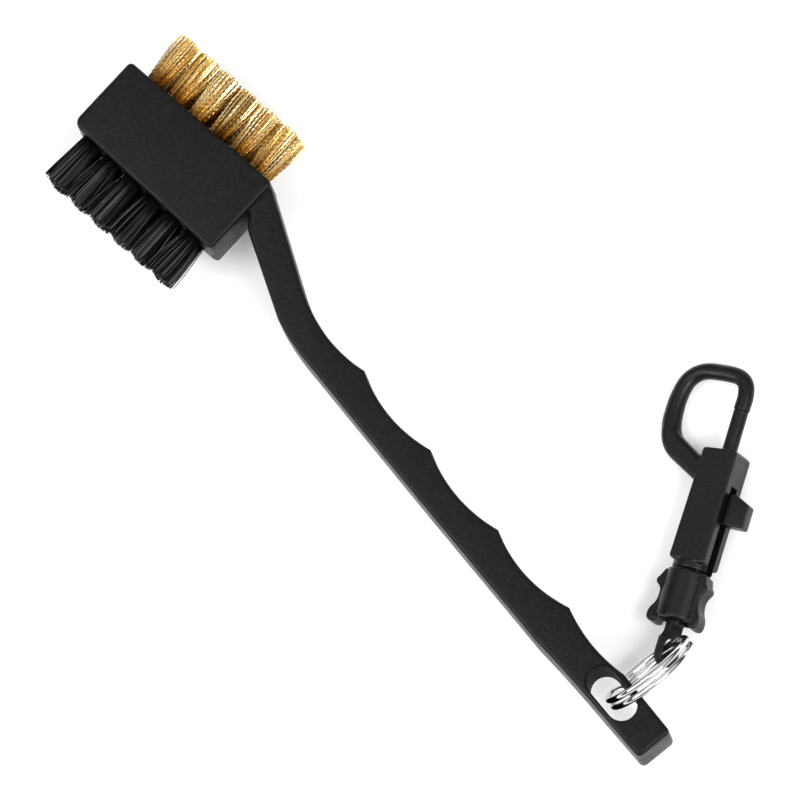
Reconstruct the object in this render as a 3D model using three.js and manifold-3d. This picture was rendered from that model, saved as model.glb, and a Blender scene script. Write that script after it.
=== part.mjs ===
// Club groove brush with a swivel snap hook.
//
// Millimetres, +Z up. The brush lies on its back: X runs along the grip from the head to the butt, Y points
// to the side with the finger grooves and the brass bristles, and Z points out of the front face.
// The origin is on the flat back of the head.
//
// What moves, from the brush outwards: the split ring swings about its wire in the grip's slot, the swivel
// eye pivots about the ring's wire, the snap hook turns on the eye's stem, and the bolt slides in the hook.

import * as THREE from "three";
import { mergeVertices } from "three/addons/utils/BufferGeometryUtils.js";
import Module from "manifold-3d";

const wasm = await Module();
wasm.setup();

const DEG = Math.PI / 180;
const FIT = 0.3; // clearance left between neighbouring pieces
const SMALL_EDGE = 0.4; // broken edge of a small moulded piece

// ---------------------------------------------------------------- driving dimensions

// Brush head: a block that widens a little towards the grip, turned against the grip's axis, with the
// long edges of its back well rounded.
const HEAD = {
  halfLength: 20.2,
  halfWidthFar: 8.9,
  halfWidthNear: 9.6,
  thickness: 13.4,
  edge: 0.8,
  backEdge: 2.2,
  centreX: -0.5,
  centreY: 1.65,
  turn: 8.2 * DEG,
  cornerFar: 2.0,
  cornerNear: 1.0,
};

// Grip: a flat bar with four finger cusps on one side and a straight back.
const GRIP = {
  thickness: 11.3,
  edge: 0.9,
  end: 163.4,
  endHalfWidth: 4.35,
  endCorner: 1.2,
};
const GRIP_BOTTOM = (HEAD.thickness - GRIP.thickness) / 2;

// Finger cusps [x, y], and the lowest y of the groove that follows each.
const CUSPS = [
  [61.7, 3.65],
  [83.9, 3.65],
  [106.4, 3.75],
  [129.0, 4.75],
];
const GROOVE_FLOORS = [1.65, 1.73, 2.15, 3.42];
const GROOVES_END = [147.5, 4.55];

// Slot through the grip's end for the split ring.
const SLOT = { x: 149.1, length: 13.2, width: 6.6 };

// Bristle tufts, set in two rows of blind holes on each long side of the head.
const TUFTS_PER_ROW = 6;
const ROW_OFFSET = 2.85;
const TUFT_HOLE = { radius: 2.3, floor: 2.9 };
const TUFT_SIDES = 8;
const BRASS = { name: "brass_tuft", side: 1, pitch: 5.8, middle: 0.8, tip: 21.2, tipRadius: 2.75 };
const NYLON = { name: "nylon_tuft", side: -1, pitch: 5.95, middle: -0.2, tip: 20.8, tipRadius: 2.8 };

// Flat wire anchor that holds the folded tuft at the bottom of its hole.
const ANCHOR = { width: 4.9, height: 1.6, thickness: 0.45, floor: 4.2, turn: 45 * DEG };

// Split ring: one wire wound twice, standing in the slot and leaning towards the butt.
const RING = {
  radius: 10.3,
  wire: 0.7,
  spreadFront: 1.95,
  spreadBack: 1.5,
  lean: 21.5 * DEG,
  x: 149.45,
  y: 9.2,
  rise: 0.3,
  firstEnd: 250 * DEG,
  crossing: 36 * DEG,
  endGap: 4 * DEG,
};

// Swivel eye, hung on the ring's wire. Its own Y runs along the clip, away from the ring.
const EYE = {
  onRing: -52 * DEG,
  roll: 41.7 * DEG,
  thickness: 2.0,
  halfWidth: 2.8,
  bottom: -3.65,
  openingHalfWidth: 1.7,
  openingBottom: -2.6,
  openingTop: 2.55,
  shoulder: 3.3,
  neckHalfWidth: 1.9,
  stemRadius: 1.5,
  stemStart: 5.6,
  headRadius: 2.4,
  headStart: 13.3,
  headEnd: 15.6,
};

// Snap hook, drawn along its own Y from the eye, X towards the thumb tab, Z out of its front.
const CLIP_YAW = 34.8 * DEG;
const CLIP_ROLL = 16.5 * DEG;
const COLLAR = {
  bottom: 6.35,
  top: 17.2,
  radius: 4.7,
  wingHalfThickness: 2.3,
  wingReachLeft: 6.2,
  wingReachRight: 5.8,
  recessRadius: 3.5,
  recessTop: 7.7,
};
const BODY = {
  middleX: 0.4,
  footLeft: -4.1,
  footRight: 4.15,
  topLeft: -3.5,
  topRight: 4.3,
  halfDepth: 4.15,
  bottom: 18.9,
  topLeftY: 43.5,
  topRightY: 44.15,
  edge: 0.4,
  neckBottom: 17.5,
  neckRadius: 4.3,
  neckTop: 19.1,
  neckX: 0.2,
  channelHalf: 2.3,
  channelTop: 36.8,
  slotHalf: 1.6,
};
const BOLT = {
  x: 0.7,
  radius: 1.6,
  tip: 53.1,
  blockBottom: 28.35,
  blockTop: 35.3,
  blockHalf: 2.0,
  pocketRadius: 1.5,
  pocketTop: 33.5,
  tabReach: 9.25,
  tabHalf: 1.7,
  tabNeckHalf: 1.3,
  tabFaceTop: 33.5,
  tabShoulder: 5.6,
};
const HOOK = { rod: 1.72, armHalf: 2.1, armEdge: 0.9, noseEnd: 53.4 };
const SPRING = { radius: 1.0, wire: 0.19, bottom: 16.1, turns: 10, topGap: 0.1 };

// ---------------------------------------------------------------- materials

const material = (color, roughness, metalness) =>
  new THREE.MeshStandardMaterial({ color, roughness, metalness });

const BLACK_PLASTIC = material(0x2a2b28, 0.55, 0.0);
const CLIP_PLASTIC = material(0x262625, 0.42, 0.0);
const BRASS_WIRE = material(0xd8a53c, 0.35, 1.0);
const BLACK_NYLON = material(0x141414, 0.6, 0.0);
const CHROME = material(0xe6e6e6, 0.12, 1.0);
const SPRING_STEEL = material(0xa8a8a8, 0.3, 1.0);

// ---------------------------------------------------------------- solid helpers

// The solid inside a closed surface.
function solid(geometry) {
  const bare = geometry.clone();
  bare.deleteAttribute("normal");
  bare.deleteAttribute("uv");
  const merged = mergeVertices(bare, 1e-4);
  return new wasm.Manifold(
    new wasm.Mesh({
      numProp: 3,
      vertProperties: new Float32Array(merged.attributes.position.array),
      triVerts: new Uint32Array(merged.index.array),
    }),
  );
}

// The surface of a solid.
function geometryOf(body) {
  const mesh = body.getMesh();
  const geometry = new THREE.BufferGeometry();
  geometry.setAttribute("position", new THREE.BufferAttribute(mesh.vertProperties, 3));
  geometry.setIndex(new THREE.BufferAttribute(mesh.triVerts, 1));
  geometry.computeVertexNormals();
  return geometry;
}

function named(name, geometry, look) {
  const mesh = new THREE.Mesh(geometry, look);
  mesh.name = name;
  return mesh;
}

// A prism of a flat shape from z0 to z1, with its edges rounded by edge and staying inside the outline.
function prism(shape, z0, z1, edge, curveSegments) {
  const geometry = new THREE.ExtrudeGeometry(shape, {
    depth: z1 - z0 - 2 * edge,
    bevelEnabled: edge > 0,
    bevelThickness: edge,
    bevelSize: edge,
    bevelOffset: -edge,
    bevelSegments: 2,
    curveSegments,
  });
  return geometry.translate(0, 0, z0 + edge);
}

function box(x0, x1, y0, y1, z0, z1) {
  const geometry = new THREE.BoxGeometry(x1 - x0, y1 - y0, z1 - z0);
  return geometry.translate((x0 + x1) / 2, (y0 + y1) / 2, (z0 + z1) / 2);
}

// A cylinder along Y from y0 to y1.
function rod(radius, y0, y1, sides, x = 0) {
  const geometry = new THREE.CylinderGeometry(radius, radius, y1 - y0, sides);
  return geometry.translate(x, (y0 + y1) / 2, 0);
}

// A closed convex polygon, counter-clockwise, whose corners are rounded by a radius each.
function roundedPolygon(corners) {
  const shape = new THREE.Shape();
  corners.forEach(([x, y, radius], i) => {
    const corner = new THREE.Vector2(x, y);
    const before = new THREE.Vector2(...corners.at(i - 1)).sub(corner).normalize();
    const after = new THREE.Vector2(...corners[(i + 1) % corners.length]).sub(corner).normalize();
    const half = Math.acos(before.dot(after)) / 2;
    const inwards = before.clone().add(after).normalize();
    const centre = corner.clone().addScaledVector(inwards, radius / Math.sin(half));
    const start = corner.clone().addScaledVector(before, radius / Math.tan(half)).sub(centre);
    const end = corner.clone().addScaledVector(after, radius / Math.tan(half)).sub(centre);
    shape.absarc(centre.x, centre.y, radius, start.angle(), end.angle(), false);
  });
  shape.closePath();
  return shape;
}

function stadium(x, halfLength, radius) {
  const shape = new THREE.Shape();
  shape.absarc(x + halfLength - radius, 0, radius, -Math.PI / 2, Math.PI / 2, false);
  shape.absarc(x - halfLength + radius, 0, radius, Math.PI / 2, (3 * Math.PI) / 2, false);
  shape.closePath();
  return shape;
}

// ---------------------------------------------------------------- the brush moulding

// Half the head's width where a tuft stands, at x along the head.
function headSide(x) {
  const share = (x + HEAD.halfLength) / (2 * HEAD.halfLength);
  return HEAD.halfWidthFar + share * (HEAD.halfWidthNear - HEAD.halfWidthFar);
}

// Every tuft's place along the head: name, x, z and the kind of bristle.
function tuftPlaces() {
  const places = [];
  for (const kind of [BRASS, NYLON])
    for (const [row, z] of [
      ["back", HEAD.thickness / 2 - ROW_OFFSET],
      ["front", HEAD.thickness / 2 + ROW_OFFSET],
    ])
      for (let i = 0; i < TUFTS_PER_ROW; i++)
        places.push({
          kind,
          z,
          x: kind.middle + (i - (TUFTS_PER_ROW - 1) / 2) * kind.pitch,
          label: `${row}_${i + 1}`,
        });
  return places;
}

// Geometry made around a tuft's own axis (Y, outwards) put where the tuft stands in the head.
function atTuft(geometry, place) {
  if (place.kind.side < 0) geometry.rotateZ(Math.PI);
  return geometry.translate(place.x, 0, place.z);
}

// The flat anchor, or the pocket for it when grown by a clearance.
function anchorBlank(clearance) {
  const half = ANCHOR.width / 2 + clearance;
  const thin = ANCHOR.thickness / 2 + clearance;
  const low = ANCHOR.floor - clearance;
  const high = ANCHOR.floor + ANCHOR.height + clearance;
  return box(-half, half, low, high, -thin, thin).rotateY(ANCHOR.turn);
}

// The head seen from its end: x towards the brass bristles, y from the back to the front.
function headSection() {
  const { halfWidthNear, thickness, backEdge } = HEAD;
  return roundedPolygon([
    [-halfWidthNear, 0, backEdge],
    [halfWidthNear, 0, backEdge],
    [halfWidthNear, thickness, SMALL_EDGE],
    [-halfWidthNear, thickness, SMALL_EDGE],
  ]);
}

function headBlock() {
  const { halfLength, halfWidthFar, halfWidthNear, cornerFar, cornerNear } = HEAD;
  const outline = roundedPolygon([
    [-halfLength, -halfWidthFar, cornerFar],
    [halfLength, -halfWidthNear, cornerNear],
    [halfLength, halfWidthNear, cornerNear],
    [-halfLength, halfWidthFar, cornerNear],
  ]);
  const reach = halfLength + 1;
  const section = prism(headSection(), -reach, reach, 0, 4);
  section.rotateY(Math.PI / 2).rotateX(Math.PI / 2);
  let block = solid(prism(outline, 0, HEAD.thickness, HEAD.edge, 3)).intersect(solid(section));
  for (const place of tuftPlaces()) {
    const hole = rod(TUFT_HOLE.radius, TUFT_HOLE.floor, HEAD.halfWidthNear + 2, TUFT_SIDES);
    block = block.subtract(solid(atTuft(hole, place)));
    block = block.subtract(solid(atTuft(anchorBlank(FIT), place)));
  }
  return block;
}

// The grip and the cranked neck as one outline, seen from the front.
function gripOutline() {
  const shape = new THREE.Shape();
  shape.moveTo(17.5, 12.3);
  shape.lineTo(18.1, 13.5);
  shape.lineTo(38.6, 5.15);
  shape.quadraticCurveTo(44.5, 2.6, 51.3, 2.2);
  shape.quadraticCurveTo(57, 2.1, ...CUSPS[0]);
  CUSPS.forEach(([x, y], i) => {
    const [nextX, nextY] = CUSPS[i + 1] ?? GROOVES_END;
    const pull = 2 * GROOVE_FLOORS[i] - (y + nextY) / 2;
    shape.quadraticCurveTo((x + nextX) / 2, pull, nextX, nextY);
  });
  const { end, endHalfWidth, endCorner } = GRIP;
  const inset = endHalfWidth - endCorner;
  shape.absarc(end - endCorner, inset, endCorner, Math.PI / 2, 0, true);
  shape.absarc(end - endCorner, -inset, endCorner, 0, -Math.PI / 2, true);
  shape.lineTo(147, -4.5);
  shape.quadraticCurveTo(138, -4.6, 130, -5.15);
  shape.lineTo(90, -5.0);
  shape.lineTo(55, -4.65);
  shape.quadraticCurveTo(46, -4.7, 41, -3.25);
  shape.lineTo(22.8, 3.55);
  shape.quadraticCurveTo(20.8, 4.5, 20.0, 6.2);
  shape.lineTo(17.5, 6.6);
  shape.closePath();
  return shape;
}

function brushMoulding() {
  const head = headBlock()
    .rotate([0, 0, HEAD.turn / DEG])
    .translate([HEAD.centreX, HEAD.centreY, 0]);
  const top = GRIP_BOTTOM + GRIP.thickness;
  const grip = solid(prism(gripOutline(), GRIP_BOTTOM, top, GRIP.edge, 6));
  const slot = prism(stadium(SLOT.x, SLOT.length / 2, SLOT.width / 2), -1, HEAD.thickness + 1, 0, 8);
  return geometryOf(head.add(grip).subtract(solid(slot)));
}

// ---------------------------------------------------------------- bristles and their anchors

// A tuft as a closed bundle: narrow in its hole, spreading to its tip, folded round its anchor.
function tuftBundle(place) {
  const { tip, tipRadius } = place.kind;
  const inHole = TUFT_HOLE.radius - FIT;
  const mouth = headSide(place.x);
  const profile = [
    [0, TUFT_HOLE.floor + FIT],
    [inHole, TUFT_HOLE.floor + FIT],
    [inHole, mouth + FIT],
    [(inHole + tipRadius) / 2, mouth + 2.5],
    [tipRadius, tip - 0.8],
    [tipRadius - 0.3, tip],
    [0, tip],
  ].map(([r, y]) => new THREE.Vector2(r, y));
  const bundle = solid(new THREE.LatheGeometry(profile, TUFT_SIDES));
  const fold = solid(anchorBlank(FIT));
  return geometryOf(bundle.subtract(fold));
}

function bristles() {
  const group = new THREE.Group();
  group.rotation.z = HEAD.turn;
  group.position.set(HEAD.centreX, HEAD.centreY, 0);
  for (const place of tuftPlaces()) {
    const look = place.kind === BRASS ? BRASS_WIRE : BLACK_NYLON;
    const tuft = named(`${place.kind.name}_${place.label}`, tuftBundle(place), look);
    const anchor = named(`${place.kind.name}_anchor_${place.label}`, anchorBlank(0), BRASS_WIRE);
    for (const piece of [tuft, anchor]) {
      piece.position.set(place.x, 0, place.z);
      if (place.kind.side < 0) piece.rotation.z = Math.PI;
      group.add(piece);
    }
  }
  return group;
}

// ---------------------------------------------------------------- split ring

// Centre line of the ring's wire in the ring's own plane: two turns, side by side, with one crossing.
class SplitRingLine extends THREE.Curve {
  getPoint(t, target = new THREE.Vector3()) {
    const sweep = 4 * Math.PI - RING.crossing - RING.endGap;
    const turned = t * sweep;
    const angle = RING.firstEnd + turned;
    const front = (1 + Math.sin(angle)) / 2;
    const spread = RING.spreadBack + front * (RING.spreadFront - RING.spreadBack);
    const across = (turned - (2 * Math.PI - RING.crossing)) / RING.crossing;
    const share = THREE.MathUtils.smoothstep(across, 0, 1);
    return target.set(
      RING.radius * Math.cos(angle),
      RING.radius * Math.sin(angle),
      (share - 0.5) * spread,
    );
  }
}

// A regular polygon section of a wire.
function wireSection(radius, sides) {
  const shape = new THREE.Shape();
  for (let i = 0; i < sides; i++) {
    const angle = (2 * Math.PI * i) / sides;
    const point = [radius * Math.cos(angle), radius * Math.sin(angle)];
    if (i === 0) shape.moveTo(...point);
    else shape.lineTo(...point);
  }
  shape.closePath();
  return shape;
}

function sweepWire(curve, radius, sides, steps) {
  return new THREE.ExtrudeGeometry(wireSection(radius, sides), {
    extrudePath: curve,
    steps,
    bevelEnabled: false,
  });
}

function splitRing() {
  const ring = named("split_ring", sweepWire(new SplitRingLine(), RING.wire, 8, 48), CHROME);
  const up = ringUp();
  const along = new THREE.Vector3(0, 1, 0);
  const axle = new THREE.Vector3().crossVectors(along, up);
  ring.quaternion.setFromRotationMatrix(new THREE.Matrix4().makeBasis(along, up, axle));
  ring.position.copy(ringCentre());
  return ring;
}

// The way up in the ring's own plane.
function ringUp() {
  return new THREE.Vector3(Math.sin(RING.lean), 0, Math.cos(RING.lean));
}

function ringCentre() {
  const middle = new THREE.Vector3(RING.x, RING.y, HEAD.thickness / 2);
  return middle.addScaledVector(ringUp(), RING.rise);
}

// ---------------------------------------------------------------- swivel eye

function swivelEye() {
  const eye = EYE;
  const outline = new THREE.Shape();
  outline.moveTo(-eye.neckHalfWidth, eye.stemStart + 1.2);
  outline.lineTo(-eye.neckHalfWidth, eye.shoulder + 1.2);
  outline.quadraticCurveTo(-eye.neckHalfWidth, eye.shoulder, -eye.halfWidth, eye.shoulder - 1);
  outline.lineTo(-eye.halfWidth, eye.bottom + eye.halfWidth);
  outline.absarc(0, eye.bottom + eye.halfWidth, eye.halfWidth, Math.PI, 2 * Math.PI, false);
  outline.lineTo(eye.halfWidth, eye.shoulder - 1);
  outline.quadraticCurveTo(eye.neckHalfWidth, eye.shoulder, eye.neckHalfWidth, eye.shoulder + 1.2);
  outline.lineTo(eye.neckHalfWidth, eye.stemStart + 1.2);
  outline.closePath();
  const half = eye.thickness / 2;
  const plate = solid(prism(outline, -half, half, SMALL_EDGE, 6));

  const length = eye.openingTop - eye.openingBottom;
  const opening = prism(stadium(0, length / 2, eye.openingHalfWidth), -3, 3, 0, 6);
  opening.rotateZ(Math.PI / 2);
  opening.translate(0, (eye.openingTop + eye.openingBottom) / 2, 0);

  const stem = rod(eye.stemRadius, eye.stemStart, eye.headStart + 0.5, 12);
  const head = rod(eye.headRadius, eye.headStart, eye.headEnd, 12);
  const whole = plate.subtract(solid(opening)).add(solid(stem)).add(solid(head));
  const geometry = geometryOf(whole);
  geometry.rotateY(Math.PI / 2);
  return named("swivel_eye", geometry, CLIP_PLASTIC);
}

// ---------------------------------------------------------------- snap hook

// One finger wing of the collar, on the +X side: two lobes with a waist between them.
function wingOutline(reach) {
  const shape = new THREE.Shape();
  shape.moveTo(3.4, 7.4);
  shape.lineTo(3.9, 5.4);
  shape.quadraticCurveTo(reach - 0.2, 4.8, reach, 6.4);
  shape.quadraticCurveTo(reach + 0.1, 7.9, 5.2, 9.0);
  shape.quadraticCurveTo(4.5, 10.6, 4.8, 12.1);
  shape.quadraticCurveTo(5.0, 12.9, reach - 0.3, 13.4);
  shape.quadraticCurveTo(reach + 0.3, 14.3, reach - 0.6, 15.1);
  shape.lineTo(4.75, COLLAR.top - SMALL_EDGE);
  shape.lineTo(3.4, COLLAR.top - SMALL_EDGE);
  shape.closePath();
  return shape;
}

// Collar at the hook's foot: it holds the stem of the eye and gives the fingers two wings to pull on.
function fingerCollar() {
  const { bottom, top, radius, wingHalfThickness, recessRadius, recessTop } = COLLAR;
  const barrel = new THREE.LatheGeometry(
    [
      [0, bottom],
      [radius - SMALL_EDGE, bottom],
      [radius, bottom + SMALL_EDGE],
      [radius, top - SMALL_EDGE],
      [radius - SMALL_EDGE, top],
      [0, top],
    ].map(([r, y]) => new THREE.Vector2(r, y)),
    20,
  );
  let collar = solid(barrel);
  for (const [reach, turn] of [
    [COLLAR.wingReachRight, 0],
    [COLLAR.wingReachLeft, Math.PI],
  ]) {
    const wing = prism(wingOutline(reach), -wingHalfThickness, wingHalfThickness, SMALL_EDGE, 3);
    collar = collar.add(solid(wing.rotateY(turn)));
  }
  const bore = rod(EYE.stemRadius + FIT, bottom - 1, top, 12);
  const recess = rod(recessRadius, bottom - 2, recessTop, 16);
  const pocket = rod(EYE.headRadius + FIT, EYE.headStart - FIT, top + 1, 16);
  for (const cut of [bore, recess, pocket]) collar = collar.subtract(solid(cut));
  return named("finger_collar", geometryOf(collar), CLIP_PLASTIC);
}

// Centre line of the hook's round rod, from its nose over the top and down to the arm.
function hookLine() {
  const points = [
    [BOLT.x, HOOK.noseEnd],
    [BOLT.x, 56.6],
    [-0.1, 59.1],
    [-2.2, 60.4],
    [-6.2, 60.5],
    [-10.0, 60.0],
    [-12.7, 57.9],
    [-13.9, 54.4],
    [-14.1, 49.8],
    [-13.5, 46.3],
    [-11.8, 43.2],
  ];
  return new THREE.CatmullRomCurve3(points.map(([x, y]) => new THREE.Vector3(x, y, 0)));
}

// The flat arm that joins the rod to the hook's body.
function armOutline() {
  const shape = new THREE.Shape();
  shape.moveTo(-12.0, 49.0);
  shape.quadraticCurveTo(-12.0, 46.4, -9.7, 44.8);
  shape.lineTo(-5.3, 42.2);
  shape.lineTo(-2.4, 42.4);
  shape.lineTo(-2.4, 36.4);
  shape.lineTo(-4.6, 36.5);
  shape.lineTo(-11.4, 40.2);
  shape.quadraticCurveTo(-15.7, 43.0, -15.6, 49.0);
  shape.closePath();
  return shape;
}

function snapBody() {
  const { middleX, halfDepth, bottom, topRightY, edge } = BODY;
  const outline = roundedPolygon([
    [BODY.footLeft, bottom, 0.8],
    [BODY.footRight, bottom, 0.8],
    [BODY.topRight, topRightY, 0.6],
    [BODY.topLeft, BODY.topLeftY, 0.6],
  ]);
  const neck = rod(BODY.neckRadius, BODY.neckBottom, BODY.neckTop, 20, BODY.neckX);
  const nose = sweepWire(hookLine(), HOOK.rod, 8, 34);
  const arm = prism(armOutline(), -HOOK.armHalf, HOOK.armHalf, HOOK.armEdge, 4);
  let body = solid(prism(outline, -halfDepth, halfDepth, edge, 2));
  for (const piece of [neck, nose, arm]) body = body.add(solid(piece));

  const { channelHalf, channelTop, slotHalf } = BODY;
  const x0 = middleX - channelHalf;
  const x1 = middleX + channelHalf;
  const channel = box(x0, x1, BODY.neckBottom - 1, channelTop, -channelHalf, channelHalf);
  const sideSlot = box(x0, x1 + 6, BODY.neckBottom - 1, channelTop, -slotHalf, slotHalf);
  const bore = rod(BOLT.radius + FIT, channelTop - 1, topRightY + 1, 16, BOLT.x);
  for (const cut of [channel, sideSlot, bore]) body = body.subtract(solid(cut));
  return named("snap_body", geometryOf(body), CLIP_PLASTIC);
}

// Outline of the thumb tab outside the slot, its top sloping down to its outer face.
function tabOutline() {
  const { blockBottom, blockTop, tabReach, tabFaceTop, tabShoulder } = BOLT;
  const inner = BODY.footRight + FIT;
  const shape = new THREE.Shape();
  shape.moveTo(inner, blockTop);
  shape.lineTo(inner, blockBottom);
  shape.lineTo(tabReach, blockBottom);
  shape.lineTo(tabReach, tabFaceTop);
  shape.lineTo(tabShoulder, blockTop);
  shape.closePath();
  return shape;
}

function slideBolt() {
  const bolt = BOLT;
  const x = BODY.middleX;
  const block = box(
    x - bolt.blockHalf,
    x + bolt.blockHalf,
    bolt.blockBottom,
    bolt.blockTop,
    -bolt.blockHalf,
    bolt.blockHalf,
  );
  const stub = box(
    x,
    BODY.footRight + 1,
    bolt.blockBottom + 0.2,
    bolt.blockTop - 0.2,
    -bolt.tabNeckHalf,
    bolt.tabNeckHalf,
  );
  const pin = rod(bolt.radius, bolt.blockTop - 1, bolt.tip, 16, bolt.x);
  const tab = prism(tabOutline(), -bolt.tabHalf, bolt.tabHalf, 0, 1);
  const pocket = rod(bolt.pocketRadius, bolt.blockBottom - 1, bolt.pocketTop, 10, x);
  let whole = solid(block);
  for (const piece of [stub, pin, tab]) whole = whole.add(solid(piece));
  return named("slide_bolt", geometryOf(whole.subtract(solid(pocket))), CLIP_PLASTIC);
}

// Helix of the bolt's return spring, along Y.
class SpringLine extends THREE.Curve {
  getPoint(t, target = new THREE.Vector3()) {
    const angle = 2 * Math.PI * SPRING.turns * t;
    const top = BOLT.pocketTop - SPRING.wire - SPRING.topGap;
    return target.set(
      BODY.middleX + SPRING.radius * Math.cos(angle),
      SPRING.bottom + (top - SPRING.bottom) * t,
      SPRING.radius * Math.sin(angle),
    );
  }
}

function boltSpring() {
  const geometry = sweepWire(new SpringLine(), SPRING.wire, 5, SPRING.turns * 8);
  return named("bolt_spring", geometry, SPRING_STEEL);
}

// ---------------------------------------------------------------- assembly

function clip() {
  const group = new THREE.Group();
  group.position.copy(ringCentre());
  group.position.y += RING.radius * Math.cos(EYE.onRing);
  group.position.addScaledVector(ringUp(), RING.radius * Math.sin(EYE.onRing));
  group.rotation.z = CLIP_YAW;

  const eye = new THREE.Group();
  eye.rotation.y = -EYE.roll;
  eye.add(swivelEye());

  const hook = new THREE.Group();
  hook.rotation.y = -CLIP_ROLL;
  hook.add(snapBody(), fingerCollar(), slideBolt(), boltSpring());

  group.add(eye, hook);
  return group;
}

const brush = new THREE.Group();
brush.name = "club_groove_brush";
brush.add(named("handle", brushMoulding(), BLACK_PLASTIC));
brush.add(bristles(), splitRing(), clip());

export default brush;
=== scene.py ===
"""Club groove brush with a swivel snap hook: the looks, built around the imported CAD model.

Lengths are in millimetres until a piece is finished, when its mesh becomes metres. +Z is up. The brush
lies on its back, X runs from the head to the grip's end, and Y points to the brass bristles. The clip's
pieces are drawn in the clip's own frame, with Y along the clip from the eye to the hook's tip.
"""

import math

import bmesh
import bpy
import numpy as np
from mathutils import Matrix, Vector


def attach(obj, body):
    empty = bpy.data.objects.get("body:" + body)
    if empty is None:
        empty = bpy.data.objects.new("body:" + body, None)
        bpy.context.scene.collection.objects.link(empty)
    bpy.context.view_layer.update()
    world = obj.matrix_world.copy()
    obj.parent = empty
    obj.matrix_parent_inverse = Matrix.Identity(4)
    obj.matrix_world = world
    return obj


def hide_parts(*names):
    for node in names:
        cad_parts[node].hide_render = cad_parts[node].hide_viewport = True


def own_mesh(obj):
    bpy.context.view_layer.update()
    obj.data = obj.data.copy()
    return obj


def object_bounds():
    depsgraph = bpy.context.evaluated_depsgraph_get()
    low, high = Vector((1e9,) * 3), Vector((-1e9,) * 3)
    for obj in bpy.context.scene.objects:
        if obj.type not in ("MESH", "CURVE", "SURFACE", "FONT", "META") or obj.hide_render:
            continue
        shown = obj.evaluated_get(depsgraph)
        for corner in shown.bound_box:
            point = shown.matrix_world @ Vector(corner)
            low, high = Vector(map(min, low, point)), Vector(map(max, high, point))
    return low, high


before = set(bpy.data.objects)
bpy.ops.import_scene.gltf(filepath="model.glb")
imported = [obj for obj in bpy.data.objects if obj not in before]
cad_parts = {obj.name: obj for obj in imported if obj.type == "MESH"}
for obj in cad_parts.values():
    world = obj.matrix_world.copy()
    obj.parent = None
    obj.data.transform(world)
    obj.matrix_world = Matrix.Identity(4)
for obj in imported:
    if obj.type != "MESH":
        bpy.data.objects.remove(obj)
cad_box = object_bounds()

MM = 0.001
SEED = 7
rng = np.random.default_rng(SEED)

# ------------------------------------------------------------------ sizes, as in the CAD

HEAD_THICK = 13.4
HEAD_HALF = 20.2
HEAD_SIDE_FAR = 8.9
HEAD_SIDE_NEAR = 9.6
HEAD_BACK_EDGE = 2.4
HEAD_TURN = math.radians(8.2)
HEAD_X = -0.5
HEAD_Y = 1.65
GRIP_LOW = 1.05
GRIP_TOP = 12.35
GRIP_END = 163.4
SLOT_X = 149.1
SLOT_HALF = 6.6
SLOT_RADIUS = 3.3
CUSPS = [(61.7, 3.65), (83.9, 3.65), (106.4, 3.75), (129.0, 4.75)]
GROOVE_FLOORS = [1.65, 1.73, 2.15, 3.42]

# Each kind of tuft: spacing along the head, tip height, how much lower the rim is, radius at the root
# and near the tips, lean of the tips, strand radius, size of the crimp, and points along a strand.
BRASS = {
    "name": "brass", "side": 1, "pitch": 5.8, "middle": 0.8, "tip": 21.25, "crown": 0.5, "root": 1.85,
    "flare": 2.95, "lean": -0.25, "wire": 0.1, "crimp": 0.11, "points": 40,
}
NYLON = {
    "name": "nylon", "side": -1, "pitch": 5.95, "middle": -0.2, "tip": 21.05, "crown": 0.8, "root": 2.0,
    "flare": 2.9, "lean": 0.0, "wire": 0.12, "crimp": 0.0, "points": 9,
}
TUFTS_PER_ROW = 6
ROW_OFFSET = 2.85
ROWS = {"back": HEAD_THICK / 2 - ROW_OFFSET, "front": HEAD_THICK / 2 + ROW_OFFSET}
STRANDS_PER_TUFT = 110
STRAND_SIDES = 4
STRAND_ROOT_DEPTH = 1.6
STRAND_SCATTER = 0.3
STRAND_SPLAY = 0.16
STRAND_BOW = 0.12
CRIMP_PERIOD = 1.15
HOLE_RADIUS = 2.3
HOLE_FLOOR = 2.9

RING_RADIUS = 10.3
RING_WIRE = 0.7
RING_LEAN = math.radians(21.5)
RING_UP = Vector((math.sin(RING_LEAN), 0, math.cos(RING_LEAN)))
RING_LIFT = 0.3
RING_CENTRE = Vector((149.45, 9.2, 6.7)) + RING_LIFT * RING_UP
RING_START = math.radians(250)
RING_STEP = math.radians(36)
RING_END_GAP = math.radians(4)
RING_SPREAD_BACK = 1.5
RING_SPREAD_MORE = 0.45

EYE_ANGLE = math.radians(-52)
EYE_AT = (
    RING_CENTRE
    + RING_RADIUS * math.cos(EYE_ANGLE) * Vector((0, 1, 0))
    + RING_RADIUS * math.sin(EYE_ANGLE) * RING_UP
)
CLIP_YAW = math.radians(34.8)
HOOK_ROLL = math.radians(16.5)
EYE_ROLL = math.radians(41.7)
CLIP_AT = Matrix.Translation(EYE_AT) @ Matrix.Rotation(CLIP_YAW, 4, "Z")
HOOK_PLACE = CLIP_AT @ Matrix.Rotation(-HOOK_ROLL, 4, "Y")
EYE_PLACE = CLIP_AT @ Matrix.Rotation(math.pi / 2 - EYE_ROLL, 4, "Y")
HEAD_PLACE = Matrix.Translation((HEAD_X, HEAD_Y, 0)) @ Matrix.Rotation(HEAD_TURN, 4, "Z")

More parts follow.
